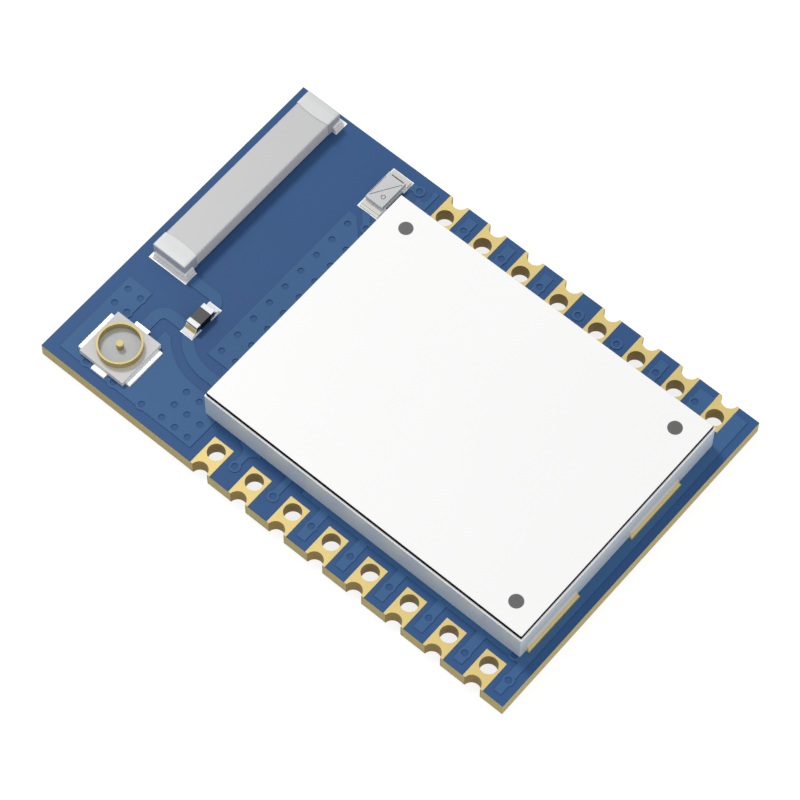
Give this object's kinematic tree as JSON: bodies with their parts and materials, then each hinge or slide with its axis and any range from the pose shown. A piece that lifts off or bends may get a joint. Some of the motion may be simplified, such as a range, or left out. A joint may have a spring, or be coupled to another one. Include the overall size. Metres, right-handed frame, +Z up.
{
  "type": "wireless circuit module",
  "caption": "Surface-mount wireless module: blue board with castellated pads, labelled shield can, ceramic chip antenna and miniature coaxial jack.",
  "frame": {"origin": "centre of the board's outline on its underside, the face that lies on the carrier board", "axes": "+X along the board from the antenna end to the far end, +Y across it from the jack's edge to the antenna's edge, +Z up out of the component side"},
  "size_m": [0.024, 0.016, 0.0025],
  "materials": {
    "mask": "glossy solder mask over glass-epoxy",
    "laminate": "cut glass-epoxy",
    "copper": "copper foil under the mask",
    "gold_plate": "immersion gold, satin",
    "can_steel": "tinned sheet metal, satin",
    "label_white": "white film",
    "label_black": "black adhesive layer",
    "ceramic": "glazed ceramic",
    "tin": "fused tin",
    "jack_plastic": "moulded liquid-crystal polymer",
    "dark_body": "dark glaze over a resistor",
    "lamp_plastic": "clear epoxy over a white base",
    "chip_black": "moulded epoxy",
    "capacitor_brown": "fired ceramic"
  },
  "bodies": {
    "root": {"substrate": "laminate", "top_copper": "copper", "bottom_copper": "copper", "top_solder_mask": "mask", "bottom_solder_mask": "mask", "pad_01": "gold_plate", "pad_02": "gold_plate", "pad_03": "gold_plate", "pad_04": "gold_plate", "pad_05": "gold_plate", "pad_06": "gold_plate", "pad_07": "gold_plate", "pad_08": "gold_plate", "pad_09": "gold_plate", "pad_10": "gold_plate", "pad_11": "gold_plate", "pad_12": "gold_plate", "pad_13": "gold_plate", "pad_14": "gold_plate", "pad_15": "gold_plate", "pad_16": "gold_plate", "shield_can": "can_steel", "crystal_lid": "can_steel", "label_adhesive": "label_black", "label_face": "label_white", "shield_lands": "gold_plate", "shield_solder": "gold_plate", "jack_shell": "gold_plate", "jack_pin": "gold_plate", "link_lands": "gold_plate", "inner_lands": "gold_plate", "antenna_body": "ceramic", "crystal_base": "ceramic", "antenna_feed_cap": "tin", "antenna_end_cap": "tin", "antenna_lands": "tin", "antenna_solder": "tin", "jack_lands": "tin", "link_caps": "tin", "link_solder": "tin", "lamp_contacts": "tin", "lamp_lands": "tin", "lamp_solder": "tin", "radio_chip_leads": "tin", "memory_chip_leads": "tin", "amplifier_chip_leads": "tin", "small_part_caps": "tin", "jack_housing": "jack_plastic", "link_body": "dark_body", "lamp_base": "lamp_plastic", "lamp_lens": "lamp_plastic", "radio_chip": "chip_black", "memory_chip": "chip_black", "amplifier_chip": "chip_black", "small_capacitors": "capacitor_brown", "small_coils": "capacitor_brown"}
  },
  "joints": []
}
